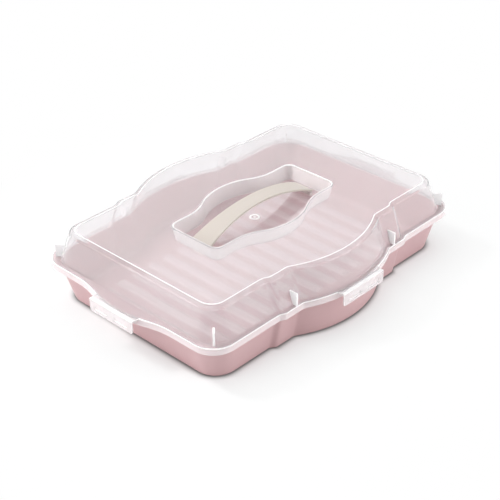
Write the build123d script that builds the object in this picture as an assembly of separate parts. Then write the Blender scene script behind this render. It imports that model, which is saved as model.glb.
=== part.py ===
from build123d import *
import os
from collections import namedtuple
from math import acos, asin, atan2, cos, degrees, radians, sin, sqrt, tan

# Rectangular cake carrier: a ribbed tray, a clear lid with four hinged latches and an
# arched strap handle that snaps into a well in the lid.
# Millimetres. +X is the long side, +Z is up, the origin is at the middle of the tray's foot.

# ---- driving sizes ---------------------------------------------------------------------
mouth_half_length = 201.5    # outside of the tray's wall at its mouth
mouth_half_width = 133.0     # the same, at the straight runs beside the corners

# Every outline of the carrier has straight ends and wavy long sides: from the corner the
# side runs straight, steps out to a short facet, and then swells into the belly.
Section = namedtuple("Section", "half_length half_width facet_rise belly_rise corner_radius")


def level(end_inset, side_inset, facet_rise, belly_rise, corner_radius):
    """A section of the walls, given by how far it is set in from the tray's mouth."""
    half_length = mouth_half_length - end_inset
    half_width = mouth_half_width - side_inset
    return Section(half_length, half_width, facet_rise, belly_rise, corner_radius)


tray_foot = level(11.8, 10.1, facet_rise=5.0, belly_rise=22.0, corner_radius=26.0)
tray_mouth = level(0.0, 0.0, facet_rise=3.4, belly_rise=18.0, corner_radius=28.0)
lid_foot = level(0.0, 0.0, facet_rise=3.4, belly_rise=18.0, corner_radius=34.0)
lid_shoulder = level(11.5, 13.0, facet_rise=4.2, belly_rise=20.4, corner_radius=23.0)
lid_crease = level(18.1, 19.6, facet_rise=4.3, belly_rise=20.5, corner_radius=17.0)

belly_half_chord = 74.0      # where the belly meets the facet
facet_end = 105.0            # where the facet steps down to the straight run
step_radius = 9.0            # both arcs of that step
belly_fillet = 9.0           # hollow fillet between belly and facet

tray_height = 50.2
tray_wall = 2.0
floor_thickness = 2.2
foot_bevel = 1.0             # outside, between floor and wall
floor_cove = 8.0             # inside, between floor and wall
foot_recess = 0.8
foot_land = 12.0

rim_overhang = 5.5           # from the wall's outside to the lid's skirt
rim_corner_radius = 28.0
end_swell = 12.3             # how far the rim swells at the middle of each end
end_swell_radius = 137.0
end_swell_half = 75.0
tray_lip_depth = 7.6
tray_rim_thickness = 2.0

rib_pitch = 24.0
rib_width = 12.0
rib_height = 1.6
rib_crown = 6.0              # width of the rib's flat top
rib_end_gap = 20.7           # from a rib's end to the edge of the flat floor

lid_wall = 1.8
lid_rise = 35.1              # from the flange's top to the lid's top
shoulder_drop = 2.2
skirt_depth = 8.4
skirt_clearance = 0.4        # skirt to tray lip, all round
rest_clearance = 0.1         # flange to tray rim

well_mouth = Section(99.5, 35.6, 1.6, 19.6, 9.0)
well_chord = 46.0
well_facet_end = 57.0
well_step_radius = 5.0
well_depth = 18.2
well_draft = 3.6
gate_radius = 5.0
gate_height = 0.5

tab_height = 15.5
tab_thickness = 2.4
corner_tab_inset = 5.3       # from the rim's edge to the tab at a corner
side_tab_inset = 0.8         # the same on a long side
tab_root = 16.5              # from the tab's edge back through the sloping wall
tab_beside_belly = 10.0      # from the end of the belly to a tab on the long side

latch_width = 68.0
latch_gap = 0.3              # between the lid's hinge land and the latch
land_margin = 0.6            # hinge land beyond the rim's furthest point
latch_reach = 4.4            # from the hinge to the latch's outer face
latch_drop = 15.6
latch_wall = 1.8
latch_corner = 3.0
latch_bend = 1.3             # outside, between the plate and the face
catch_width = 30.0
catch_nose = 1.0             # height of the catch's blunt tip
catch_root = 4.0             # height of the catch where it leaves the face
catch_clearance = 0.3        # catch to tray lip, beside it and below it
grip_length = 20.0           # two finger slots sunk in the latch's face
grip_height = 5.5
grip_depth = 0.8
grip_spacing = 32.0

strap_proud = 7.3            # height of the arch above the lid's top
strap_end_gap = 9.4          # from the end of the broad band to the end wall of the well
strap_end_rise = 6.0         # height of the band's top face there, above the well's floor
strap_thickness = 2.6
strap_half_width = 14.5      # at the ends of the band
strap_waist = 10.5           # half width at the middle
tongue_width = 17.0
tongue_angle = radians(70)   # how steeply the tongue goes down into its slot
tongue_bend = 6.0            # bend radius between band and tongue, on the top face
tongue_barb = 1.2
tongue_tip = 5.0             # from the barb to the end of the tongue
slot_clearance = 0.3

# ---- sizes that follow -----------------------------------------------------------------
lid_flange_top = tray_height + rest_clearance + lid_wall
skirt_bottom = lid_flange_top - skirt_depth
lid_top = lid_flange_top + lid_rise
well_floor = lid_top - well_depth


def grown(section, offset):
    """The same section moved outwards by offset, or inwards when it is negative."""
    return section._replace(
        half_length=section.half_length + offset,
        half_width=section.half_width + offset,
        corner_radius=section.corner_radius + offset,
    )


rim = grown(tray_mouth, rim_overhang)._replace(corner_radius=rim_corner_radius)


def belly_peak(section):
    return section.half_width + section.facet_rise + section.belly_rise


def belly_radius(section, chord):
    return (chord**2 + section.belly_rise**2) / (2 * section.belly_rise)


def sagitta(radius, half_chord):
    """How far an arc of this radius falls away at half_chord from its middle."""
    return radius - sqrt(radius**2 - half_chord**2)


def quadrant(section, chord, step_at, step_arc, fillet_arc, swell):
    """Edges from the belly's peak on +Y round the corner to the middle of the +X end."""
    facet_y = section.half_width + section.facet_rise
    radius = belly_radius(section, chord)
    belly_centre = facet_y + section.belly_rise - radius
    reach = radius + fillet_arc
    fillet_x = sqrt(reach**2 - (facet_y + fillet_arc - belly_centre) ** 2)
    share = radius / reach
    belly_end = (fillet_x * share, belly_centre + (facet_y + fillet_arc - belly_centre) * share)
    turn = acos(1 - section.facet_rise / (2 * step_arc))
    step_half = step_arc * sin(turn)
    step_middle = (step_at, section.half_width + section.facet_rise / 2)
    end_x = section.half_length
    corner_y = section.half_width - section.corner_radius
    corner_x = end_x - section.corner_radius
    edges = [
        RadiusArc((0, facet_y + section.belly_rise), belly_end, radius),
        RadiusArc(belly_end, (fillet_x, facet_y), -fillet_arc),
        Line((fillet_x, facet_y), (step_at - step_half, facet_y)),
        RadiusArc((step_at - step_half, facet_y), step_middle, step_arc),
        RadiusArc(step_middle, (step_at + step_half, section.half_width), -step_arc),
        Line((step_at + step_half, section.half_width), (corner_x, section.half_width)),
        RadiusArc((corner_x, section.half_width), (end_x, corner_y), section.corner_radius),
    ]
    if swell:
        angle = 2 * atan2(swell, end_swell_half)
        hollow_radius = end_swell_half / sin(angle) - end_swell_radius
        meet_y = end_swell_radius * sin(angle)
        meet_x = end_x + swell - end_swell_radius * (1 - cos(angle))
        edges += [
            Line((end_x, corner_y), (end_x, end_swell_half)),
            RadiusArc((end_x, end_swell_half), (meet_x, meet_y), -hollow_radius),
            RadiusArc((meet_x, meet_y), (end_x + swell, 0), end_swell_radius),
        ]
    else:
        edges.append(Line((end_x, corner_y), (end_x, 0)))
    return edges


def outline(section, z, swell=0.0, chord=belly_half_chord, step_at=facet_end,
            step_arc=step_radius, fillet_arc=belly_fillet):
    """Closed face of a section at height z."""
    right = Curve() + quadrant(section, chord, step_at, step_arc, fillet_arc, swell)
    upper = right + mirror(right, Plane.YZ)
    whole = upper + mirror(upper, Plane.XZ)
    return Pos(0, 0, z) * make_face(whole.edges())


def well_outline(section, z):
    return outline(section, z, 0.0, well_chord, well_facet_end, well_step_radius, well_step_radius)


# ---- base tray -------------------------------------------------------------------------
def tray_rim_outline(inset, z):
    """The rim seen from above, set in from the lid's skirt."""
    return outline(grown(rim, -inset), z, end_swell)


def ring(outer_inset, inner_inset, low, high):
    """Band that follows the rim, between two insets from the skirt's outside."""
    outer = extrude(tray_rim_outline(outer_inset, low), high - low, dir=(0, 0, 1))
    inner = extrude(tray_rim_outline(inner_inset, low), high - low, dir=(0, 0, 1))
    return outer - inner


def tray_wall_at(height):
    """The outside of the sloping wall at a height above the foot."""
    share = (height - foot_bevel) / (tray_height - foot_bevel)
    return Section(*(low + share * (high - low) for low, high in zip(tray_foot, tray_mouth)))


def inside(height, cove=0.0):
    """Outline of the tray's inside, set in further by the cove beside the floor."""
    return outline(grown(tray_wall_at(height), -tray_wall - cove), height)


def base_tray():
    rim_under = tray_height - tray_rim_thickness
    lip_inset = lid_wall + skirt_clearance
    shell = loft(
        [
            outline(grown(tray_foot, -foot_bevel), 0),
            outline(tray_foot, foot_bevel),
            outline(tray_mouth, tray_height),
        ],
        ruled=True,
    )
    rim_plate = extrude(tray_rim_outline(lip_inset, rim_under), tray_rim_thickness, dir=(0, 0, 1))
    lip = ring(lip_inset, lip_inset + tray_wall, tray_height - tray_lip_depth, tray_height)
    cove_middle = floor_cove * (1 - sqrt(0.5))
    cavity = loft(
        [
            inside(floor_thickness, floor_cove),
            inside(floor_thickness + cove_middle, cove_middle),
            inside(floor_thickness + floor_cove),
            inside(tray_height),
        ],
        ruled=True,
    )
    land = grown(tray_foot, -foot_land)
    hollow = RectangleRounded(2 * land.half_length, 2 * land.half_width, land.corner_radius)
    tray = (shell + rim_plate + lip) - cavity - extrude(hollow, foot_recess)
    flat_floor = grown(tray_wall_at(floor_thickness), -tray_wall - floor_cove)
    rib_length = 2 * (flat_floor.half_width - rib_end_gap)
    rib_count = int((2 * flat_floor.half_length - rib_width) / rib_pitch)
    for index in range(rib_count):
        rib_x = (index - (rib_count - 1) / 2) * rib_pitch
        foot = Pos(rib_x, 0, floor_thickness) * Rectangle(rib_width, rib_length)
        crown_length = rib_length - rib_width + rib_crown
        crown = Pos(rib_x, 0, floor_thickness + rib_height) * Rectangle(rib_crown, crown_length)
        tray += loft([foot, crown], ruled=True)
    return tray


# ---- lid -------------------------------------------------------------------------------
def stand_tabs():
    """Eight upright ribs round the flange, each with its back in the sloping wall."""
    plate = Box(
        tab_root,
        tab_thickness,
        lid_wall + tab_height,
        align=(Align.MAX, Align.CENTER, Align.MIN),
    )
    flange_under = lid_flange_top - lid_wall
    tab_x = belly_half_chord + tab_beside_belly
    corner_x = rim.half_length - rim.corner_radius
    corner_y = rim.half_width - rim.corner_radius
    tabs = []
    for side_x in (-1, 1):
        for side_y in (-1, 1):
            diagonal = degrees(atan2(side_y, side_x))
            corner_edge = rim.corner_radius - corner_tab_inset
            corner_tab = Rot(0, 0, diagonal) * Pos(corner_edge, 0, 0) * plate
            tabs.append(Pos(side_x * corner_x, side_y * corner_y, flange_under) * corner_tab)
            side_tab = Rot(0, 0, side_y * 90) * plate
            edge_y = rim.half_width + rim.facet_rise - side_tab_inset
            tabs.append(Pos(side_x * tab_x, side_y * edge_y, flange_under) * side_tab)
    return tabs


def hinge_lands():
    """Straight-edged tongues of the flange that the four latches hang from."""
    lands = []
    for turn, reach, radius in latch_seats.values():
        depth = land_margin + sagitta(radius, latch_width / 2) + lid_wall
        plate = Box(depth, latch_width, lid_wall, align=(Align.MAX, Align.CENTER, Align.MAX))
        lands.append(Rot(0, 0, turn) * Pos(reach + land_margin, 0, lid_flange_top) * plate)
    return lands


def lid_shell():
    under_flange = lid_flange_top - lid_wall
    dome = loft(
        [
            outline(lid_foot, under_flange),
            outline(lid_shoulder, lid_top - shoulder_drop),
            outline(lid_crease, lid_top),
        ],
        ruled=True,
    )
    flange = extrude(outline(rim, under_flange, end_swell), lid_wall, dir=(0, 0, 1))
    skirt = ring(0, lid_wall, skirt_bottom, lid_flange_top)
    hollow = loft(
        [
            outline(grown(lid_foot, -lid_wall), under_flange),
            outline(grown(lid_shoulder, -lid_wall), lid_top - shoulder_drop - lid_wall / 2),
            outline(grown(lid_crease, -lid_wall), lid_top - lid_wall),
        ],
        ruled=True,
    )
    well_body = loft(
        [
            well_outline(grown(well_mouth, lid_wall - well_draft), well_floor - lid_wall),
            well_outline(grown(well_mouth, lid_wall), lid_top),
        ],
        ruled=True,
    )
    well_space = loft(
        [
            well_outline(grown(well_mouth, -well_draft), well_floor),
            well_outline(well_mouth, lid_top),
        ],
        ruled=True,
    )
    lid = dome + flange
    lid += skirt
    for piece in stand_tabs() + hinge_lands():
        lid += piece
    lid = lid - hollow
    lid = lid + well_body - well_space
    for side in (-1, 1):
        lid -= strap_slot(side)
    gate = Pos(0, 0, well_floor) * extrude(Circle(gate_radius), gate_height)
    return lid + gate


# ---- strap handle ----------------------------------------------------------------------
# The strap is a broad arched band, narrowest at its middle. At each end a narrower tongue
# carries on, bends down and goes through a slot in the floor of the well.
strap_top = lid_top + strap_proud
strap_end_x = well_mouth.half_length - well_draft - strap_end_gap
strap_end_z = well_floor + strap_end_rise
strap_drop = strap_top - strap_end_z
strap_radius = (strap_end_x**2 + strap_drop**2) / (2 * strap_drop)
strap_slope = asin(strap_end_x / strap_radius)
bend_x = strap_end_x - tongue_bend * sin(strap_slope)
bend_z = strap_end_z - tongue_bend * cos(strap_slope)


def on_bend(angle, inwards):
    """A point of the bend where the strap has turned down by angle, inwards from its top face."""
    reach = tongue_bend - inwards
    return (bend_x + reach * sin(angle), bend_z + reach * cos(angle))


def along_tongue(distance, inwards):
    """A point beside the straight tongue: distance down from the bend, inwards from its face."""
    start_x, start_z = on_bend(tongue_angle, inwards)
    return (start_x + distance * cos(tongue_angle), start_z - distance * sin(tongue_angle))


def tongue_x(z, inwards):
    start_x, start_z = along_tongue(0, inwards)
    return start_x + (start_z - z) / tan(tongue_angle)


def strap_slot(side):
    low_x = tongue_x(well_floor, strap_thickness) - slot_clearance
    high_x = tongue_x(well_floor - lid_wall, 0) + slot_clearance
    through = 3 * lid_wall
    slot = Box(high_x - low_x, tongue_width + 2 * slot_clearance, through)
    return Pos(side * (low_x + high_x) / 2, 0, well_floor) * slot


def handle_strap():
    barb_z = well_floor - lid_wall - slot_clearance - tongue_barb * cos(tongue_angle)
    barb_at = (along_tongue(0, 0)[1] - barb_z) / sin(tongue_angle)
    half_turn = (strap_slope + tongue_angle) / 2
    top_face = [
        along_tongue(0, 0),
        along_tongue(barb_at, 0),
        along_tongue(barb_at, -tongue_barb),
        along_tongue(barb_at + tongue_tip, 0),
        along_tongue(barb_at + tongue_tip, strap_thickness),
        along_tongue(0, strap_thickness),
    ]
    right = Curve() + [
        RadiusArc((0, strap_top), on_bend(strap_slope, 0), strap_radius),
        ThreePointArc(on_bend(strap_slope, 0), on_bend(half_turn, 0), top_face[0]),
        Polyline(*top_face),
        ThreePointArc(
            top_face[-1],
            on_bend(half_turn, strap_thickness),
            on_bend(strap_slope, strap_thickness),
        ),
        RadiusArc(
            on_bend(strap_slope, strap_thickness),
            (0, strap_top - strap_thickness),
            strap_thickness - strap_radius,
        ),
    ]
    whole = right + mirror(right, Plane.YZ)
    profile = Plane.XZ * make_face(whole.edges())
    narrow = extrude(profile, tongue_width / 2, both=True)
    broad = extrude(profile, strap_half_width, both=True)
    plan = Curve() + [
        ThreePointArc(
            (-strap_end_x, strap_half_width),
            (0, strap_waist),
            (strap_end_x, strap_half_width),
        ),
        Line((strap_end_x, strap_half_width), (strap_end_x, -strap_half_width)),
        ThreePointArc(
            (strap_end_x, -strap_half_width),
            (0, -strap_waist),
            (-strap_end_x, -strap_half_width),
        ),
        Line((-strap_end_x, -strap_half_width), (-strap_end_x, strap_half_width)),
    ]
    above_floor = Pos(0, 0, well_floor) * extrude(make_face(plan), strap_radius, dir=(0, 0, 1))
    return (broad & above_floor) + (narrow - above_floor)


# ---- latches ---------------------------------------------------------------------------
# Each seat: the side it faces, how far out the rim reaches there, and the rim's radius.
latch_seats = {
    "latch_right": (0, rim.half_length + end_swell, end_swell_radius),
    "latch_back": (90, belly_peak(rim), belly_radius(rim, belly_half_chord)),
    "latch_left": (180, rim.half_length + end_swell, end_swell_radius),
    "latch_front": (270, belly_peak(rim), belly_radius(rim, belly_half_chord)),
}


def latch():
    """One latch with its hinge line on the Y axis and its plate reaching out along +X."""
    lip_inset = lid_wall + skirt_clearance
    catch_tip = -(land_margin + latch_gap / 2 + lip_inset - catch_clearance)
    catch_top = tray_height - tray_lip_depth - catch_clearance - lid_flange_top
    inner = latch_reach - latch_wall
    plate = Box(
        latch_reach - latch_gap / 2,
        latch_width,
        latch_wall,
        align=(Align.MIN, Align.CENTER, Align.MAX),
    )
    face = Box(
        latch_wall,
        latch_width,
        latch_drop,
        align=(Align.MAX, Align.CENTER, Align.MAX),
    )
    body = Pos(latch_gap / 2, 0, 0) * plate + Pos(latch_reach, 0, 0) * face
    outside = body.faces().sort_by(Axis.X)[-1]
    body = fillet(outside.edges().sort_by(Axis.Z)[-1], latch_bend)
    lower = body.edges().filter_by(Axis.X).group_by(Axis.Z)[0]
    body = fillet(lower, latch_corner)
    catch = Polyline(
        (inner, catch_top),
        (catch_tip, catch_top),
        (catch_tip, catch_top - catch_nose),
        (inner, catch_top - catch_root),
        close=True,
    )
    ridge = extrude(Plane.XZ * make_face(catch), catch_width / 2, both=True)
    body += ridge
    for side in (-1, 1):
        middle = (latch_reach, side * grip_spacing / 2, -(latch_drop + latch_wall) / 2)
        on_face = Plane(middle, x_dir=(0, 1, 0), z_dir=(1, 0, 0))
        body -= extrude(on_face * SlotOverall(grip_length, grip_height), -grip_depth)
    return body


def placed_latch(name):
    turn, reach, _ = latch_seats[name]
    hinge_at = reach + land_margin + latch_gap / 2
    return Rot(0, 0, turn) * Pos(hinge_at, 0, lid_flange_top) * latch()


# ---- write the pieces ------------------------------------------------------------------
pieces = {
    "base_tray": base_tray(),
    "lid_shell": lid_shell(),
    "handle_strap": handle_strap(),
}
for latch_name in latch_seats:
    pieces[latch_name] = placed_latch(latch_name)

os.makedirs("parts", exist_ok=True)
for name, piece in pieces.items():
    export_step(piece, f"parts/{name}.step")
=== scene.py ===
from collections import namedtuple
from math import acos, asin, atan2, cos, hypot, pi, radians, sin, sqrt

import bmesh
import bpy
from mathutils import Matrix, Vector


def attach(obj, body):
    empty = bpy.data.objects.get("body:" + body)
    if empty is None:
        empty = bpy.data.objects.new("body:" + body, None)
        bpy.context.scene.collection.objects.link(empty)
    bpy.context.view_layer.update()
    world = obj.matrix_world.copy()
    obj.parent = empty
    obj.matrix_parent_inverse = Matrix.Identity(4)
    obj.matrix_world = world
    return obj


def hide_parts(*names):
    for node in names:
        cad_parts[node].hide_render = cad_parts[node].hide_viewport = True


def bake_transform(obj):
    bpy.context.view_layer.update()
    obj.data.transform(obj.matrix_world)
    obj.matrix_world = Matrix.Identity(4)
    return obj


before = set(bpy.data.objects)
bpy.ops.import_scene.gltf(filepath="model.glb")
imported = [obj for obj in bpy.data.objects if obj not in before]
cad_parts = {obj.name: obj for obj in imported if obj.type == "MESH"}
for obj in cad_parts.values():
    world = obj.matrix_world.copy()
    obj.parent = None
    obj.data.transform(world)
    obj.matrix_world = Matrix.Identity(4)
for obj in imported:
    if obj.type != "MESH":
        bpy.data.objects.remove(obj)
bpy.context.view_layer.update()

scene = bpy.context.scene

# ---- camera ----------------------------------------------------------------------------
# A long lens looks down on the front left corner of the carrier, turned a little over
# half way from its front to its left end.
camera_at = Vector((-0.8924, -0.8467, 0.7970))
azimuth, elevation, roll = radians(-46.232), radians(32.158), radians(-0.623)
toward_camera = Vector((sin(azimuth) * cos(elevation), -cos(azimuth) * cos(elevation),
                        sin(elevation)))
level_right = Vector((cos(azimuth), sin(azimuth), 0))
upright = toward_camera.cross(level_right)
camera_axes = Matrix((
    level_right * cos(roll) + upright * sin(roll),
    upright * cos(roll) - level_right * sin(roll),
    toward_camera,
)).transposed()
camera = bpy.data.objects.new("camera", bpy.data.cameras.new("camera"))
camera.data.lens = 88.2
camera.data.sensor_width = 36
camera.matrix_world = Matrix.Translation(camera_at) @ camera_axes.to_4x4()
scene.collection.objects.link(camera)
scene.camera = camera
scene.view_settings.view_transform = "Standard"


# ---- studio light ----------------------------------------------------------------------
# A pale room, white where it is seen directly or through clear plastic, dimmer at the front
# left, and brighter overhead for mirrored rays only. A small key lamp throws the handle's
# shadow into the well, and four soft panels fill in. Mirrored rays see only the back panel.
def node_tree(holder):
    """A node tree with only its output left, and a maker of linked nodes for it."""
    holder.use_nodes = True
    tree = holder.node_tree
    for node in list(tree.nodes):
        if node.bl_idname not in ("ShaderNodeOutputMaterial", "ShaderNodeOutputWorld"):
            tree.nodes.remove(node)
    output = tree.nodes[0]

    def add(kind, **settings):
        node = tree.nodes.new("ShaderNode" + kind)
        for name, value in settings.items():
            if name in ("operation", "noise_dimensions", "use_clamp", "data_type"):
                setattr(node, name, value)
                continue
            socket = node.inputs[int(name[1:])] if name[0] == "i" and name[1:].isdigit() else None
            socket = socket or node.inputs[name.replace("_", " ")]
            if isinstance(value, bpy.types.NodeSocket):
                tree.links.new(value, socket)
            else:
                socket.default_value = value
        return node

    return add, tree, output


def straight(add, *kinds):
    """1 for rays of these kinds that have not yet met a matt surface."""
    path = add("LightPath")
    total = path.outputs[kinds[0]]
    for kind in kinds[1:]:
        total = add("Math", operation="ADD", use_clamp=True,
                    i0=total, i1=path.outputs[kind]).outputs[0]
    unscattered = add("Math", operation="LESS_THAN", i0=path.outputs["Diffuse Depth"], i1=0.5)
    return add("Math", operation="MULTIPLY", i0=total, i1=unscattered.outputs[0]).outputs[0]


room_glow = 0.34             # the room as matt surfaces see it
far_shine, side_shine, ceiling_shine = 0.60, 0.78, 1.30     # the room as mirrored rays see it
matt_dimming, mirror_dimming = 0.6, 0.45                    # what is left at the front left
world = bpy.data.worlds.new("room")
scene.world = world
add, tree, output = node_tree(world)
direction = add("TexCoord").outputs["Generated"]
front_left = add("VectorMath", operation="DOT_PRODUCT", i0=direction, i1=(-0.72, -0.69, 0.0))
mirrored = straight(add, "Is Glossy Ray")
dimmest = add("MapRange", Value=mirrored, To_Min=matt_dimming, To_Max=mirror_dimming)
dimmed = add("MapRange", Value=front_left.outputs["Value"], From_Min=0.0, From_Max=0.95,
             To_Min=1.0, To_Max=dimmest.outputs[0])
height = add("VectorMath", operation="DOT_PRODUCT", i0=direction, i1=(0.0, 0.0, 1.0))
low_shine = add("MapRange", Value=front_left.outputs["Value"], From_Min=-0.85, From_Max=-0.45,
                To_Min=far_shine, To_Max=side_shine)
shine = add("MapRange", Value=height.outputs["Value"], From_Min=0.44, From_Max=0.56,
            To_Min=low_shine.outputs[0], To_Max=ceiling_shine)
glow = add("MapRange", Value=mirrored, To_Min=room_glow, To_Max=shine.outputs[0])
glow = add("Math", operation="MULTIPLY", i0=glow.outputs[0], i1=dimmed.outputs[0])
strength = add("Math", operation="MAXIMUM", i0=glow.outputs[0],
               i1=straight(add, "Is Camera Ray", "Is Transmission Ray"))
backdrop = add("Background", Color=(1, 1, 1, 1), Strength=strength.outputs[0])
tree.links.new(backdrop.outputs[0], output.inputs["Surface"])


def soft_panel(name, at, target, width, height, power, mirrored_too=False):
    """A soft area lamp. Mirrored rays miss it unless mirrored_too is set."""
    lamp = bpy.data.objects.new(name, bpy.data.lights.new(name, "AREA"))
    lamp.data.shape = "RECTANGLE"
    lamp.data.size = width
    lamp.data.size_y = height
    lamp.data.energy = power
    lamp.location = at
    lamp.rotation_euler = (Vector(target) - Vector(at)).to_track_quat("-Z", "Y").to_euler()
    lamp.visible_glossy = mirrored_too
    scene.collection.objects.link(lamp)


soft_panel("key_lamp", (-0.75, 1.35, 1.75), (0, 0, 0.05), 0.3, 0.3, 21)
soft_panel("top_panel", (0.35, 0.35, 1.65), (0, 0, 0.05), 2.0, 0.5, 4)
soft_panel("back_panel", (1.25, 1.2, 1.0), (0, 0, 0.05), 2.2, 1.1, 3.5, mirrored_too=True)
soft_panel("left_panel", (-1.9, 0.75, 0.95), (0, 0, 0.05), 2.2, 1.5, 28)
soft_panel("right_panel", (1.2, -1.8, 0.85), (0.1, 0, 0.05), 2.2, 1.5, 35)

# ---- base tray -------------------------------------------------------------------------
# The tray is one injection moulding in pale pink polypropylene, with a satin skin. Its
# walls follow a wavy outline, a lip turns down all round, and soft ribs cross the floor.
MM = 0.001
Section = namedtuple(
    "Section",
    "half_length half_width facet_rise belly_rise corner_radius z "
    "swell land chord step_at step_arc",
    defaults=(0.0, 0.0, 74.0, 105.0, 9.0),
)

tray_height = 50.2
tray_wall = 2.0
floor_thickness = 2.2
floor_cove = 8.0
foot_bevel = 1.0
tray_mouth = Section(201.5, 133.0, 3.4, 18.0, 28.0, tray_height)
tray_foot = Section(189.7, 122.9, 5.0, 22.0, 26.0, foot_bevel)
end_swell, end_swell_radius, end_swell_half = 12.3, 137.0, 75.0
rim_overhang, rim_corner_radius = 5.5, 28.0
tray_lip_depth = 7.6
lid_wall = 1.8
skirt_clearance = 0.4
latch_width = 68.0
land_margin = 0.6


def grown(section, offset, **changes):
    """The same section moved outwards by offset, with any other changes."""
    moved = section._replace(
        half_length=section.half_length + offset,
        half_width=section.half_width + offset,
        corner_radius=section.corner_radius + offset,
    )
    return moved._replace(**changes)


def between(a, b, share):
    """The section that lies this share of the way from a to b."""
    return Section(*(p + (q - p) * share for p, q in zip(a, b)))


def arc(centre_x, centre_y, radius, start, end, steps):
    """Points along an arc, without its last one."""
    turns = (start + (end - start) * i / steps for i in range(steps))
    return [(centre_x + radius * cos(t), centre_y + radius * sin(t)) for t in turns]


def run(x, y, to_x, to_y, steps):
    """Points along a straight run, without its last one."""
    return [(x + (to_x - x) * i / steps, y + (to_y - y) * i / steps) for i in range(steps)]


def belly(section):
    """The belly's radius and centre, and the centre of the hollow fillet beside it."""
    rise = max(section.belly_rise, 0.01)
    facet_y = section.half_width + max(section.facet_rise, 0.01)
    radius = (section.chord**2 + rise**2) / (2 * rise)
    centre_y = facet_y + rise - radius
    fillet_y = facet_y + section.step_arc
    fillet_x = sqrt((radius + section.step_arc) ** 2 - (fillet_y - centre_y) ** 2)
    return radius, centre_y, fillet_x, fillet_y


rim = grown(tray_mouth, rim_overhang, corner_radius=rim_corner_radius, swell=end_swell)
rim_radius, rim_centre_y, rim_fillet_x, _ = belly(rim)
rim_belly_end = rim_fillet_x * rim_radius / (rim_radius + rim.step_arc)
land_y = rim_centre_y + rim_radius + land_margin
land_x = rim.half_length + end_swell + land_margin
land_side = 0.6              # the latch lands narrow by this much towards the flange
rim_end = rim.half_width - rim.corner_radius


def shares(whole):
    """Places along half a side, from 0 to 1, with a close pair at the edge of a latch land."""
    edge = latch_width / 2
    inside = [edge * i / 6 for i in range(7)]
    outside = [edge + land_side + (whole - edge - land_side) * i / 7 for i in range(7)]
    return [place / whole for place in inside + outside]


belly_shares = shares(rim_belly_end)
end_shares = shares(rim_end)[::-1]
land_half = latch_width / 2 + land_side / 2
land_shares = land_half / rim_belly_end, land_half / rim_end


def swell_at(y):
    """How far the rim's end stands out at y, for the full swell."""
    angle = 2 * atan2(end_swell, end_swell_half)
    hollow_radius = end_swell_half / sin(angle) - end_swell_radius
    if abs(y) > end_swell_half:
        return 0.0
    if abs(y) > end_swell_radius * sin(angle):
        return hollow_radius - sqrt(hollow_radius**2 - (end_swell_half - abs(y)) ** 2)
    return end_swell - end_swell_radius + sqrt(end_swell_radius**2 - y**2)


def quarter(section):
    """Points from the belly's peak on +Y round the corner to the middle of the +X end."""
    radius, centre_y, fillet_x, fillet_y = belly(section)
    meet = atan2(fillet_y - centre_y, fillet_x)
    facet = max(section.facet_rise, 0.01)
    facet_y = section.half_width + facet
    turn = acos(1 - facet / (2 * section.step_arc))
    step_half = section.step_arc * sin(turn)
    corner_x = section.half_length - section.corner_radius
    corner_y = section.half_width - section.corner_radius
    points = []
    for share in belly_shares:
        x = share * radius * cos(meet)
        y = centre_y + sqrt(radius**2 - x**2)
        if share < land_shares[0]:
            y += (land_y - y) * section.land
        points.append((x, y))
    points += arc(fillet_x, fillet_y, section.step_arc, meet - pi, -pi / 2, 4)
    points += run(fillet_x, facet_y, section.step_at - step_half, facet_y, 3)
    points += arc(section.step_at - step_half, facet_y - section.step_arc, section.step_arc,
                  pi / 2, pi / 2 - turn, 4)
    points += arc(section.step_at + step_half, section.half_width + section.step_arc,
                  section.step_arc, -pi / 2 - turn, -pi / 2, 4)
    points += run(section.step_at + step_half, section.half_width, corner_x, section.half_width, 4)
    points += arc(corner_x, corner_y, section.corner_radius, pi / 2, 0, 10)
    for share in [1.0] + end_shares:
        y = share * corner_y
        x = section.half_length + swell_at(y) / end_swell * section.swell
        if share < land_shares[1]:
            x += (land_x - x) * section.land
        points.append((x, y))
    return points


def outline(section):
    """Closed row of points round a section, in metres."""
    corner = quarter(section)
    ring = corner + [(x, -y) for x, y in corner[-2::-1]]
    ring += [(-x, -y) for x, y in corner[1:]] + [(-x, y) for x, y in corner[-2:0:-1]]
    return [Vector((x * MM, y * MM, section.z * MM)) for x, y in ring]


def eased(corners, steps=4):
    """Sections along a row of corners. Each corner is rounded over its own distance."""
    sections = [corners[0][0]]
    for (before, _), (here, ease), (after, _) in zip(corners, corners[1:], corners[2:]):
        if not ease:
            sections.append(here)
            continue
        reach = []
        for other in (before, after):
            far = hypot(here.half_width - other.half_width, here.z - other.z,
                        5 * (here.land - other.land))
            reach.append(between(here, other, min(ease / far, 0.5)))
        for i in range(steps + 1):
            t = i / steps
            sections.append(between(between(reach[0], here, t), between(here, reach[1], t), t))
    return sections + [corners[-1][0]]


def loops_skin(bm, loops):
    """Quads between rows of points that all have the same count. Returns the rows of vertices."""
    rows = [[bm.verts.new(point) for point in loop] for loop in loops]
    for low, high in zip(rows, rows[1:]):
        for i in range(len(low)):
            j = (i + 1) % len(low)
            bm.faces.new((low[i], low[j], high[j], high[i]))
    return rows


def fill(bm, rows):
    """Closes a flat area: the first row is its edge and the others are holes in it."""
    edges = []
    for row in rows:
        for i in range(len(row)):
            pair = (row[i], row[(i + 1) % len(row)])
            edges.append(bm.edges.get(pair) or bm.edges.new(pair))
    bmesh.ops.triangle_fill(bm, edges=edges, use_beauty=True)


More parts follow.
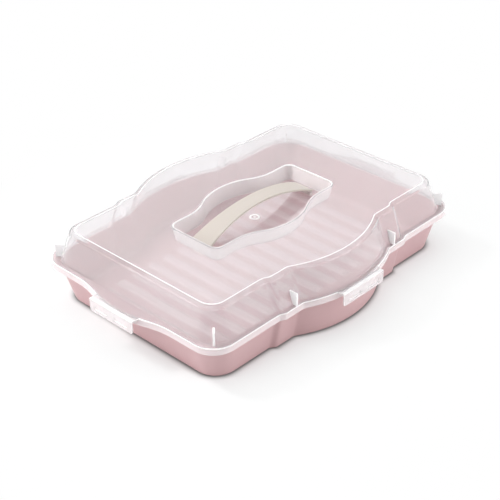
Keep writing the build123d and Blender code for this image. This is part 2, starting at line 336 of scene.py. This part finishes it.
def rounded_rectangle(x, y, half_x, half_y, radius, z, steps=4):
    """Closed row of points, in metres from sizes in mm."""
    points = []
    for turn, side_x, side_y in ((0, 1, 1), (1, -1, 1), (2, -1, -1), (3, 1, -1)):
        for i in range(steps + 1):
            t = (turn + i / steps) * pi / 2
            points.append(Vector((
                (x + side_x * (half_x - radius) + radius * cos(t)) * MM,
                (y + side_y * (half_y - radius) + radius * sin(t)) * MM,
                z * MM,
            )))
    return points


def piece(name, bm, material, crisp=35):
    """The finished object: outward faces, smooth except at edges sharper than crisp degrees."""
    bmesh.ops.remove_doubles(bm, verts=bm.verts, dist=1e-7)
    bmesh.ops.recalc_face_normals(bm, faces=bm.faces)
    mesh = bpy.data.meshes.new(name)
    bm.to_mesh(mesh)
    bm.free()
    mesh.shade_smooth()
    mesh.set_sharp_from_angle(angle=radians(crisp))
    made = bpy.data.objects.new(name, mesh)
    mesh.materials.append(material)
    scene.collection.objects.link(made)
    return made


def settled(made):
    """Bakes the object's modifiers into its mesh."""
    bpy.context.view_layer.update()
    finished = made.evaluated_get(bpy.context.evaluated_depsgraph_get())
    mesh = bpy.data.meshes.new_from_object(finished)
    made.modifiers.clear()
    old, made.data = made.data, mesh
    name = old.name
    bpy.data.meshes.remove(old)
    mesh.name = name
    return made


def even_shading(made):
    """Large flat faces keep their own direction beside a small rounding."""
    weighted = made.modifiers.new("even_shading", "WEIGHTED_NORMAL")
    weighted.keep_sharp = True
    weighted.weight = 80
    return settled(made)


def moulded_plastic(name, colour, shade, roughness, grain, grain_depth):
    """Opaque moulded plastic: a faint flow pattern in its colour, a fine grain and satin skin."""
    material = bpy.data.materials.new(name)
    add, tree, output = node_tree(material)
    place = add("TexCoord").outputs["Object"]
    flow = add("TexNoise", Vector=place, Scale=9.0, Detail=3.0, Roughness=0.5)
    tone = add("MapRange", Value=flow.outputs["Fac"], From_Min=0.3, From_Max=0.7)
    tint = add("Mix", data_type="RGBA", Factor=tone.outputs[0], i6=(*colour, 1), i7=(*shade, 1))
    patches = add("TexNoise", Vector=place, Scale=60.0, Detail=2.0)
    satin = add("MapRange", Value=patches.outputs["Fac"], From_Min=0.3, From_Max=0.7,
                To_Min=roughness[0], To_Max=roughness[1])
    skin = add("TexNoise", Vector=place, Scale=grain, Detail=2.0)
    bump = add("Bump", Height=skin.outputs["Fac"], Strength=0.35, Distance=grain_depth)
    plastic = add("BsdfPrincipled", Base_Color=tint.outputs["Result"], Roughness=satin.outputs[0],
                  Normal=bump.outputs["Normal"], IOR=1.49)
    tree.links.new(plastic.outputs[0], output.inputs["Surface"])
    return material, plastic


tray_plastic, _ = moulded_plastic(
    "tray_pink", (0.65, 0.43, 0.44), (0.63, 0.41, 0.425), (0.34, 0.42), 600.0, 0.000008)
# The ribs' paler colour is a painted sheen, with slightly less roughness as well.
rib_polish_and_sheen, _ = moulded_plastic(
    "rib_polish_and_sheen", (0.73, 0.56, 0.58), (0.71, 0.54, 0.56), (0.29, 0.35), 600.0, 0.000008)

lip_outside = grown(rim, -lid_wall - skirt_clearance)
lip_inside = grown(lip_outside, -tray_wall)
rim_under = tray_height - tray_wall
foot_land_width, foot_recess = 12.0, 0.8
foot_land = grown(tray_foot, -foot_land_width, facet_rise=0.0, belly_rise=0.0, z=0.0)


def tray_wall_at(z):
    """The outside of the tray's sloping wall at a height."""
    return between(tray_foot, tray_mouth, (z - foot_bevel) / (tray_height - foot_bevel))


cavity_foot = grown(tray_wall_at(floor_thickness), -tray_wall)
tray_profile = [
    (grown(foot_land, -6.0, z=foot_recess), 0),
    (grown(foot_land, 0.0, z=foot_recess), 0.4),
    (foot_land, 0.4),
    (grown(tray_foot, -foot_bevel, z=0.0), 0.5),
    (tray_foot, 0.5),
    (tray_wall_at(rim_under), 0.8),
    (lip_inside._replace(z=rim_under), 0.5),
    (lip_inside._replace(z=tray_height - tray_lip_depth), 0.4),
    (lip_outside._replace(z=tray_height - tray_lip_depth), 0.6),
    (lip_outside._replace(z=tray_height), 1.0),
    (grown(tray_mouth, -tray_wall), 0.8),
    (cavity_foot, floor_cove),
    (grown(cavity_foot, -floor_cove - 4.0), 0),
]

# The ribs are shallow crowned bars, a little glossier than the satin floor and painted a
# paler pink, a painted sheen in place of the light they catch.
rib_count, rib_pitch, rib_half_length, rib_half_width = 14, 24.0, 92.4, 6.0
rib_profile = ((6.7, 0.0), (6.1, 0.1), (5.4, 0.36), (4.1, 1.08), (3.4, 1.42), (2.6, 1.6))
bm = bmesh.new()
rows = loops_skin(bm, [outline(section) for section in eased(tray_profile)])
fill(bm, rows[:1])
rib_start = len(bm.faces)
rib_feet = []
for index in range(rib_count):
    rib_x = (index - (rib_count - 1) / 2) * rib_pitch
    loops = []
    for half_width, height in rib_profile:
        inset = rib_half_width - half_width
        loops.append(rounded_rectangle(rib_x, 0, half_width, rib_half_length - inset,
                                       half_width * 0.6, floor_thickness + height))
    rib_rows = loops_skin(bm, loops)
    rib_feet.append(rib_rows[0])
    bm.faces.new(rib_rows[-1])
bm.faces.ensure_lookup_table()
for face in bm.faces[rib_start:]:
    face.material_index = 1
fill(bm, [rows[-1]] + rib_feet)
tray_moulding = piece("tray_moulding", bm, tray_plastic)
tray_moulding.data.materials.append(rib_polish_and_sheen)
even_shading(tray_moulding)
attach(tray_moulding, "tray")
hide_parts("base_tray")

# ---- table -----------------------------------------------------------------------------
# A plain white table top, out of sight on every side. It keeps the shadow where the tray
# meets it, and fades to white away from there. Near the foot its colour is also darkened,
# down to 0.35 at the contact, and made a little less red: a painted contact shadow.
table_z, table_edge = -0.2, -6.0
# Distance out from the tray's foot, and the share of the real shading that is kept there.
# Above 0.6 the share also darkens the floor's colour, as a painted contact shadow.
shadow_kept = ((table_edge, 1.0), (0.5, 1.0), (2.5, 0.85), (6.0, 0.66), (12.0, 0.52),
               (20.0, 0.42), (34.0, 0.29), (60.0, 0.16), (130.0, 0.06), (260.0, 0.0),
               (5800.0, 0.0))
bm = bmesh.new()
kept = bm.verts.layers.float.new("shadow_kept")
loops = [outline(grown(tray_foot, reach, z=table_z)) for reach, _ in shadow_kept]
rows = loops_skin(bm, loops)
for row, (_, share) in zip(rows, shadow_kept):
    for vert in row:
        vert[kept] = share
bm.faces.new(rows[0])
table_paint = bpy.data.materials.new("table_paint")
add, tree, output = node_tree(table_paint)
lit = add("BsdfDiffuse", Color=(0.86, 0.86, 0.86, 1))
shown_white = add("Emission", Color=(1, 1, 1, 1), Strength=1.0)
share = add("Attribute")
share.attribute_name = "shadow_kept"
# Painted contact shadow: the colour falls from 1.0 to 0.35 as the share rises towards the foot.
tone = add("MapRange", Value=share.outputs["Fac"], From_Min=0.6, From_Max=1.0,
           To_Min=1.0, To_Max=0.35)
less_red = add("Math", operation="MULTIPLY", i0=tone.outputs[0], i1=0.96)
contact_shadow_colour = add("CombineColor", Red=less_red.outputs[0], Green=tone.outputs[0], Blue=tone.outputs[0])
shown_lit = add("BsdfDiffuse", Color=contact_shadow_colour.outputs[0])
shown = add("MixShader", Fac=share.outputs["Fac"],
            i1=shown_white.outputs[0], i2=shown_lit.outputs[0])
seen = straight(add, "Is Camera Ray", "Is Glossy Ray", "Is Transmission Ray")
paint = add("MixShader", Fac=seen, i1=lit.outputs[0], i2=shown.outputs[0])
tree.links.new(paint.outputs[0], output.inputs["Surface"])
table_top = piece("table_top", bm, table_paint)

# ---- lid -------------------------------------------------------------------------------
# The lid is one thin moulding in natural, slightly milky polypropylene. The flange rests on
# the tray's rim, a skirt covers the lip, and the top is sunk into a well for the handle.
# Eight upright tabs stand on the flange, against the wall.
skirt_depth, shoulder_drop, well_draft = 8.4, 2.2, 3.6
lid_flange_top = 52.1
flange_under = lid_flange_top - lid_wall
skirt_bottom = lid_flange_top - skirt_depth
lid_top = 87.2
well_floor = 69.0
lid_base = tray_mouth._replace(corner_radius=34.0, z=flange_under)
lid_shoulder = Section(190.0, 120.0, 4.2, 20.4, 23.0, lid_top - shoulder_drop)
lid_crease = Section(183.4, 113.4, 4.3, 20.5, 17.0, lid_top)
well_mouth = Section(100.1, 36.9, 0.0, 19.6, 10.0, lid_top, 0.0, 0.0, 51.0, 79.0, 55.0)
well_foot = grown(well_mouth, -well_draft, z=well_floor)


def wall_at(z):
    """The lid's sloping wall at a height from the flange's underside to the shoulder."""
    return between(lid_base, lid_shoulder, (z - flange_under) / (lid_shoulder.z - flange_under))


lid_foot = wall_at(lid_flange_top)
slot_low_x, slot_high_x, slot_half_y = 87.46, 91.48, 8.8


def clear_plastic(name, colour, clearness, roughness, lamp_share, grain):
    """See-through plastic with a little milk in it. Lamps reach what is behind it."""
    material = bpy.data.materials.new(name)
    add, tree, output = node_tree(material)
    place = add("TexCoord").outputs["Object"]
    waves = add("TexNoise", Vector=place, Scale=grain, Detail=1.5)
    bump = add("Bump", Height=waves.outputs["Fac"], Strength=0.06, Distance=0.00005)
    clear = add("BsdfPrincipled", Base_Color=(*colour, 1), Roughness=roughness, IOR=1.49,
                Transmission_Weight=clearness, Normal=bump.outputs["Normal"])
    lamps = add("BsdfTransparent", Color=(*(lamp_share,) * 3, 1))
    path = add("LightPath")
    both = add("MixShader", Fac=path.outputs["Is Shadow Ray"],
               i1=clear.outputs[0], i2=lamps.outputs[0])
    tree.links.new(both.outputs[0], output.inputs["Surface"])
    return material


# The same plastic looks whiter where it is bent, thick or seen through its own thickness.
# This pale finish also stands in for the highlights its edges catch, a painted highlight,
# and it has a faint painted glow of its own, though it is no lamp.
lid_edge_highlight, edge_highlight_plastic = moulded_plastic(
    "lid_edge_highlight", (0.97, 0.96, 0.965), (0.95, 0.94, 0.945), (0.20, 0.30), 500.0, 0.00002)
# A painted glow: the pale finish gives off a little light of its own.
edge_highlight_plastic.inputs["Emission Color"].default_value = (1, 0.98, 0.985, 1)
edge_highlight_plastic.inputs["Emission Strength"].default_value = 0.12
lid_plastic = clear_plastic("lid_clear", (0.965, 0.965, 0.975), 0.86, 0.07, 0.52, 45.0)
lid_milky = clear_plastic("lid_milky", (0.99, 0.965, 0.97), 0.50, 0.10, 0.80, 90.0)
lid_skirt = clear_plastic("lid_skirt", (1.0, 0.94, 0.95), 0.50, 0.12, 0.90, 90.0)
lid_side = clear_plastic("lid_side", (0.97, 0.96, 0.97), 0.79, 0.08, 0.60, 45.0)

lid_profile = [
    (grown(well_foot, -1.2), 0),
    (well_foot, 1.0),
    (well_mouth, 0.9),
    (lid_crease, 1.3),
    (lid_shoulder, 1.6),
    (lid_foot, 1.2),
    (rim._replace(z=lid_flange_top, land=1.0), 0.8),
    (rim._replace(z=flange_under, land=1.0), 0),
    (rim._replace(z=flange_under - 0.1), 0),
    (rim._replace(z=skirt_bottom), 0.5),
    (grown(rim, -lid_wall, z=skirt_bottom), 0.5),
    (grown(rim, -lid_wall, z=flange_under), 0.6),
    (grown(lid_base, -lid_wall), 0.8),
    (grown(lid_shoulder, -lid_wall, z=lid_shoulder.z - lid_wall / 2), 1.4),
    (grown(lid_crease, -lid_wall, z=lid_top - lid_wall), 1.2),
    (grown(well_mouth, lid_wall, z=lid_top - lid_wall), 1.2),
    (grown(well_foot, lid_wall, z=well_floor - lid_wall), 2.4),
    (grown(well_foot, -1.0, z=well_floor - lid_wall), 0),
]
# Each finish by its place in the lid's material slots, and the sections that it runs along.
as_clear, as_highlight, as_milky, as_skirt, as_side = range(5)
# The pale finish along the crease, the well's mouth and the flange's edge is a painted highlight
# line.
painted_highlight_edges = ((lid_crease, 0.5), (well_mouth, 0.95), (rim._replace(z=lid_flange_top), 0.8))
milky_runs = (
    (well_foot, well_mouth, 3, as_milky),
    (rim._replace(z=lid_flange_top), rim._replace(z=skirt_bottom), 3, as_skirt),
    (lid_foot, lid_shoulder, 0.5, as_side),
)
bm = bmesh.new()
lid_sections = eased(lid_profile)
rows = loops_skin(bm, [outline(section) for section in lid_sections])
bm.faces.ensure_lookup_table()
for index, (low, high) in enumerate(zip(lid_sections, lid_sections[1:])):
    middle = between(low, high, 0.5)
    look = as_clear
    for one, other, reach, milky in milky_runs:
        if (min(one.z, other.z) < middle.z < max(one.z, other.z)
                and abs(middle.half_width - (one.half_width + other.half_width) / 2) < reach):
            look = milky
    for edge, reach in painted_highlight_edges:
        if hypot(middle.half_width - edge.half_width, middle.z - edge.z) < reach:
            look = as_highlight
    for face in bm.faces[index * len(rows[0]):(index + 1) * len(rows[0])]:
        face.material_index = look
slot_tops, slot_feet = [], []
for side in (-1, 1):
    half_x = (slot_high_x - slot_low_x) / 2
    middle = side * (slot_low_x + slot_high_x) / 2
    walls = loops_skin(bm, [
        rounded_rectangle(middle, 0, half_x, slot_half_y, 0.6, level)
        for level in (well_floor, well_floor - lid_wall)])
    slot_tops.append(walls[0])
    slot_feet.append(walls[1])

# The moulding's gate mark: a low ring with a nib in its middle, on the well's floor.
gate_profile = ((6.4, 0.0), (6.2, 0.5), (5.7, 0.7), (4.6, 0.7), (4.2, 0.5), (3.9, 0.1),
                (1.5, 0.1), (1.2, 0.7), (0.5, 0.8))
gate_nib, gate_ring = 1.6, 3.9
gate_loops = []
for radius, height in gate_profile:
    points = arc(0, 0, radius, 0, 2 * pi, 32)
    gate_loops.append([Vector((x * MM, y * MM, (well_floor + height) * MM)) for x, y in points])
gate_start = len(bm.faces)
gate_rows = loops_skin(bm, gate_loops)
bm.faces.ensure_lookup_table()
# The ring and the nib take the pale finish, a painted highlight; the hollow between them stays
# clear.
for face in bm.faces[gate_start:]:
    reach = face.calc_center_median().xy.length / MM
    face.material_index = as_clear if gate_nib < reach < gate_ring else as_highlight
bm.faces.new(gate_rows[-1])
fill(bm, [rows[0], gate_rows[0]] + slot_tops)
fill(bm, [rows[-1]] + slot_feet)
lid_moulding = piece("lid_moulding", bm, lid_plastic)
for extra in (lid_edge_highlight, lid_milky, lid_skirt, lid_side):
    lid_moulding.data.materials.append(extra)

# The tabs: 2.4 mm thick, set in from the flange's edge, sloping back into the wall.
tab_height, tab_half, tab_sunk = 15.5, 1.2, 0.9
corner_tab_inset, side_tab_inset, side_tab_x = 5.3, 0.8, 84.0
bm = bmesh.new()


def stand_tab(middle, outward, edge, wall_low, wall_high):
    """One tab: its outer edge and the wall behind it are distances along outward."""
    across = Vector((-outward.y, outward.x, 0))
    low, high = flange_under + tab_sunk, lid_flange_top + tab_height
    side = []
    for reach, z in ((wall_low - tab_sunk, low), (edge, low), (edge, high),
                     (wall_high - tab_sunk, high)):
        side.append((middle + outward * reach) * MM + Vector((0, 0, z * MM)))
    corners = [[bm.verts.new(p + across * (half * MM)) for p in side]
               for half in (-tab_half, tab_half)]
    bm.faces.new(corners[0])
    bm.faces.new(corners[1][::-1])
    for i in range(4):
        j = (i + 1) % 4
        bm.faces.new((corners[0][j], corners[0][i], corners[1][i], corners[1][j]))


for side_x in (-1, 1):
    for side_y in (-1, 1):
        reaches = [wall_at(z) for z in (flange_under, lid_flange_top + tab_height)]
        start = Vector((side_x * side_tab_x, 0, 0))
        stand_tab(start, Vector((0, side_y, 0)), rim.half_width + rim.facet_rise - side_tab_inset,
                  *(here.half_width + here.facet_rise for here in reaches))
        centre = Vector((side_x * (rim.half_length - rim.corner_radius),
                         side_y * (rim.half_width - rim.corner_radius), 0))
        outward = Vector((side_x, side_y, 0)).normalized()
        backs = []
        for here in reaches:
            corner = Vector((side_x * (here.half_length - here.corner_radius),
                             side_y * (here.half_width - here.corner_radius), 0))
            backs.append((corner - centre).dot(outward) + here.corner_radius)
        stand_tab(centre, outward, rim.corner_radius - corner_tab_inset, *backs)
bmesh.ops.recalc_face_normals(bm, faces=bm.faces)
bmesh.ops.bevel(bm, geom=bm.edges[:], offset=0.35 * MM, segments=2, affect="EDGES", profile=0.5)
# The tabs take the pale finish on every face, so even their shaded sides show white: painted
# light.
tabs = piece("lid_tabs", bm, lid_edge_highlight)
joined = lid_moulding.modifiers.new("tabs", "BOOLEAN")
joined.operation = "UNION"
joined.solver = "EXACT"
joined.material_mode = "TRANSFER"
joined.object = tabs
settled(lid_moulding)
bpy.data.objects.remove(tabs)
lid_moulding.data.set_sharp_from_angle(angle=radians(35))
even_shading(lid_moulding)
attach(lid_moulding, "lid")
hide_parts("lid_shell")

# ---- handle strap ----------------------------------------------------------------------
# The handle is a springy strap in cream polypropylene, arched over the well. A barbed tongue
# at each end snaps through a slot in the well's floor.
strap_thickness, strap_half_width, strap_waist, tongue_half = 2.6, 14.5, 10.5, 8.5
strap_top, strap_end_x, strap_end_z = lid_top + 7.3, 86.5, well_floor + 6.0
tongue_angle, tongue_bend, tongue_barb, tongue_tip = radians(70), 6.0, 1.2, 5.0
slot_clearance = 0.3
strap_edge = 0.9             # rounding of the strap's long edges
strap_drop = strap_top - strap_end_z
strap_radius = (strap_end_x**2 + strap_drop**2) / (2 * strap_drop)
strap_slope = asin(strap_end_x / strap_radius)


def band_section(top, bottom, half_width, edge):
    """Closed row round the strap, between a point of its top face and one of its underside."""
    top, bottom = Vector((top[0], 0, top[1])), Vector((bottom[0], 0, bottom[1]))
    down = (bottom - top).normalized()
    edge = min(edge, (bottom - top).length / 2)
    points = []
    for corner, turn, side in ((top, 0, 1), (bottom, 1, 1), (bottom, 2, -1), (top, 3, -1)):
        inwards = down if corner is top else -down
        centre = corner + inwards * edge + Vector((0, side * (half_width - edge), 0))
        for i in range(4):
            t = (turn - 1 + i / 3) * pi / 2
            # the turn starts at the top face and runs out over the +Y edge
            points.append((centre + down * (edge * sin(t)) + Vector((0, edge * cos(t), 0))) * MM)
    return points


def half_width_at(x):
    """The plan's two long edges curve in towards the waist."""
    hollow = strap_half_width - strap_waist
    radius = (strap_end_x**2 + hollow**2) / (2 * hollow)
    return strap_waist + radius - sqrt(radius**2 - x**2)


def on_arch(angle, inwards):
    """A point of the arch at this angle from its middle, inwards from its top face."""
    reach = strap_radius - inwards
    return (reach * sin(angle), strap_top - strap_radius + reach * cos(angle))


def on_bend(angle, inwards):
    """A point of the bend where the strap has turned down by angle, inwards from its top face."""
    reach = tongue_bend - inwards
    return (strap_end_x - tongue_bend * sin(strap_slope) + reach * sin(angle),
            strap_end_z - tongue_bend * cos(strap_slope) + reach * cos(angle))


def along_tongue(distance, inwards):
    """A point beside the straight tongue: distance down from the bend, inwards from its face."""
    x, z = on_bend(tongue_angle, inwards)
    return (x + distance * cos(tongue_angle), z - distance * sin(tongue_angle))


barb_z = well_floor - lid_wall - slot_clearance - tongue_barb * cos(tongue_angle)
barb_at = (along_tongue(0, 0)[1] - barb_z) / sin(tongue_angle)
tongue_length = barb_at + tongue_tip
right_end = []
for index in range(25):
    turn = strap_slope * index / 24
    top = on_arch(turn, 0)
    right_end.append((top, on_arch(turn, strap_thickness), half_width_at(top[0])))
for index in range(7):
    turn = strap_slope + (tongue_angle - strap_slope) * index / 6
    right_end.append((on_bend(turn, 0), on_bend(turn, strap_thickness), tongue_half))
right_end += [
    (along_tongue(barb_at, 0), along_tongue(barb_at, strap_thickness), tongue_half),
    (along_tongue(barb_at, -tongue_barb), along_tongue(barb_at, strap_thickness), tongue_half),
    (along_tongue(tongue_length - 0.4, -0.1),
     along_tongue(tongue_length - 0.4, strap_thickness), tongue_half),
    (along_tongue(tongue_length, 0.5),
     along_tongue(tongue_length, strap_thickness - 0.5), tongue_half - 0.5),
]
left_end = [((-top[0], top[1]), (-under[0], under[1]), half)
            for top, under, half in right_end[1:]]
bm = bmesh.new()
loops = [band_section(*station, strap_edge) for station in right_end[::-1] + left_end]
rows = loops_skin(bm, loops)
bm.faces.new(rows[0])
bm.faces.new(rows[-1])
strap_plastic, _ = moulded_plastic(
    "strap_cream", (0.665, 0.605, 0.55), (0.645, 0.585, 0.53), (0.36, 0.44), 1600.0, 0.00005)
strap_moulding = even_shading(piece("strap_moulding", bm, strap_plastic))
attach(strap_moulding, "lid")
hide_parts("handle_strap")

# ---- latches ---------------------------------------------------------------------------
# Four latches in the lid's own milky plastic. Each is an angle, a plate and a face, with a
# catch that snaps under the tray's lip and two finger slots sunk in its face.
latch_reach, latch_drop, latch_wall, latch_gap = 4.4, 15.6, 1.8, 0.3
catch_width, catch_nose, catch_root, catch_clearance = 30.0, 1.0, 4.0, 0.3
grip_length, grip_height, grip_depth, grip_spacing = 20.0, 5.5, 0.8, 32.0
latch_corner, latch_bend, latch_edge, hair = 3.0, 1.3, 0.3, 0.01
latch_plastic = clear_plastic("latch_frosted", (0.99, 0.955, 0.965), 0.50, 0.14, 0.85, 160.0)


def extruded(points, half_width):
    """A bar along Y with this outline in X and Z, in mm."""
    bm = bmesh.new()
    ends = [[bm.verts.new((x * MM, y * MM, z * MM)) for x, z in points]
            for y in (-half_width, half_width)]
    bm.faces.new(ends[0])
    bm.faces.new(ends[1][::-1])
    for i in range(len(points)):
        j = (i + 1) % len(points)
        bm.faces.new((ends[0][j], ends[0][i], ends[1][i], ends[1][j]))
    bmesh.ops.recalc_face_normals(bm, faces=bm.faces)
    return bm


def edges_where(bm, test):
    """Edges with both ends at places, in mm, that pass the test."""
    return [edge for edge in bm.edges if all(test(vert.co / MM) for vert in edge.verts)]


def rounded(bm, edges, radius, segments):
    bmesh.ops.bevel(bm, geom=edges, offset=radius * MM, segments=segments, affect="EDGES",
                    profile=0.5)


inner_x = latch_reach - latch_wall
bm = extruded([(latch_gap / 2, 0), (latch_reach, 0), (latch_reach, -latch_drop),
               (inner_x, -latch_drop), (inner_x, -latch_wall), (latch_gap / 2, -latch_wall)],
              latch_width / 2)
across_wall = [edge for edge in edges_where(bm, lambda p: p.z < hair - latch_drop)
               if abs(edge.verts[0].co.x - edge.verts[1].co.x) > 0.1 * MM]
rounded(bm, across_wall, latch_corner, 5)
rounded(bm, edges_where(bm, lambda p: p.z > -hair and p.x > latch_reach - hair), latch_bend, 4)


def in_inner_corner(vert):
    """Where the plate meets the face on the inside, which stays square."""
    return abs(vert.co.x / MM - inner_x) < hair and abs(vert.co.z / MM + latch_wall) < hair


outer_edges = [edge for edge in bm.edges
               if len(edge.link_faces) == 2 and edge.calc_face_angle() > radians(50)
               and not all(in_inner_corner(vert) for vert in edge.verts)]
rounded(bm, outer_edges, latch_edge, 2)
latch_body = piece("latch_body", bm, latch_plastic)
lip_inset = lid_wall + skirt_clearance
catch_tip = -(land_margin + latch_gap / 2 + lip_inset - catch_clearance)
catch_top = tray_height - tray_lip_depth - catch_clearance - lid_flange_top
catch_back = inner_x + 0.5   # the catch starts inside the latch's face, and is joined to it
bm = extruded([(catch_back, catch_top), (catch_tip, catch_top),
               (catch_tip, catch_top - catch_nose), (catch_back, catch_top - catch_root)],
              catch_width / 2)
rounded(bm, edges_where(bm, lambda p: p.x < inner_x), latch_edge, 2)
catch = piece("catch", bm, latch_plastic)
grip_profile = ((-0.6, -0.5), (0.0, -0.15), (0.2, 0.0), (grip_depth - 0.2, 0.1),
                (grip_depth, 0.35))
bm = bmesh.new()
for side in (-1, 1):
    slot = []
    for depth, inset in grip_profile:
        flat = rounded_rectangle(side * grip_spacing / 2, -(latch_drop + latch_wall) / 2,
                                 grip_length / 2 - inset, grip_height / 2 - inset,
                                 grip_height / 2 - inset - 0.05, latch_reach - depth, 6)
        slot.append([Vector((p.z, p.x, p.y)) for p in flat])
    rows = loops_skin(bm, slot)
    bm.faces.new(rows[0])
    bm.faces.new(rows[-1])
grips = piece("grips", bm, latch_plastic)
for tool, operation in ((catch, "UNION"), (grips, "DIFFERENCE")):
    cut = latch_body.modifiers.new(tool.name, "BOOLEAN")
    cut.operation = operation
    cut.solver = "EXACT"
    cut.object = tool
settled(latch_body)
for tool in (catch, grips):
    bpy.data.objects.remove(tool)
latch_body.data.set_sharp_from_angle(angle=radians(35))
latch_body.data.materials.append(lid_edge_highlight)
# Frosted on its broad faces, and pale on the plate's top, the edges and the slots' rims: a
# painted highlight, which keeps the plate's top white where the lid shades it.
for face in latch_body.data.polygons:
    faces_out = face.normal.x > 0.97 or face.normal.x < -0.9 or face.normal.z < -0.9
    sunk = face.center.x / MM < latch_reach - 0.3
    face.material_index = 0 if faces_out or (sunk and face.normal.z < 0.5) else 1
even_shading(latch_body)

film_thickness, film_hold = 0.35, 0.9
latch_seats = ((0, "right", land_x), (90, "back", land_y), (180, "left", land_x),
               (270, "front", land_y))
for turn, name, reach in latch_seats:
    seat = Matrix.Rotation(radians(turn), 4, "Z") @ Matrix.Translation(
        ((reach + latch_gap / 2) * MM, 0, lid_flange_top * MM))
    mesh = latch_body.data.copy()
    mesh.transform(seat)
    mesh.name = name + "_latch_moulding"
    latch = bpy.data.objects.new(mesh.name, mesh)
    scene.collection.objects.link(latch)
    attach(latch, name + "_latch")
    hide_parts("latch_" + name)
    # The living hinge: a thin web of the same plastic between the flange and the latch.
    bm = bmesh.new()
    half = latch_width / 2 - 2.0
    columns = [-film_hold - latch_gap / 2 + (2 * film_hold + latch_gap) * i / 8 for i in range(9)]
    loops = []
    for y in (-half, half):
        loops.append([Vector((x * MM, y * MM, -0.04 * MM)) for x in columns]
                     + [Vector((x * MM, y * MM, -film_thickness * MM)) for x in columns[::-1]])
    rows = loops_skin(bm, loops)
    bm.faces.new(rows[0])
    bm.faces.new(rows[-1])
    web = piece(name + "_hinge_web", bm, latch_plastic)
    web.data.transform(seat)
    start = seat @ Vector((-latch_gap / 2 * MM, 0, 0))
    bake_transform(web)
bpy.data.objects.remove(latch_body)
